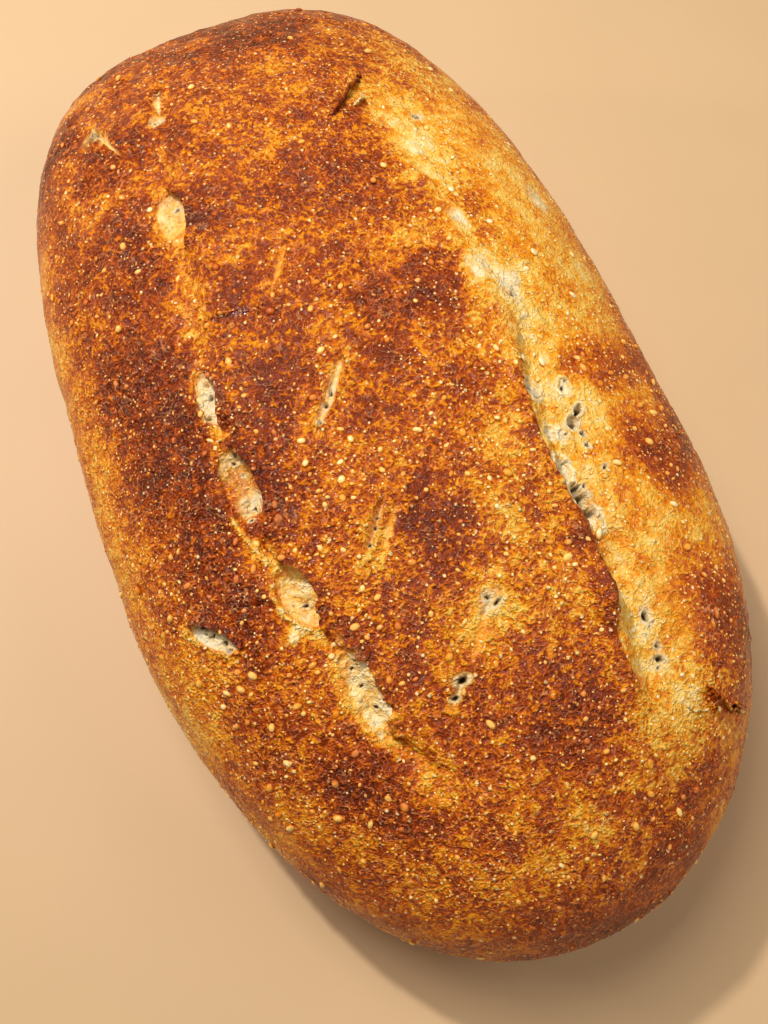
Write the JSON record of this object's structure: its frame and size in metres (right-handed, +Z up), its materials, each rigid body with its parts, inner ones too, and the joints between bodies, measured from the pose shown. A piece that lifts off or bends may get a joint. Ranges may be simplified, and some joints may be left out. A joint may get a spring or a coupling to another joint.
{
  "type": "sourdough loaf",
  "caption": "Oval hearth-baked sourdough loaf with a domed browned crust, two long scores, open pockets of crumb and a flat base.",
  "frame": {"origin": "middle of the flat base, on the surface that the loaf stands on", "axes": "+Z up, +Y along the loaf towards its blunt end, +X across it towards the wide open score"},
  "size_m": [0.16, 0.29, 0.078],
  "materials": {
    "crust": "blistered golden to dark brown bread crust with a soft satin sheen, and pale crumb in the scores"
  },
  "bodies": {
    "root": {"loaf": "crust"}
  },
  "joints": []
}
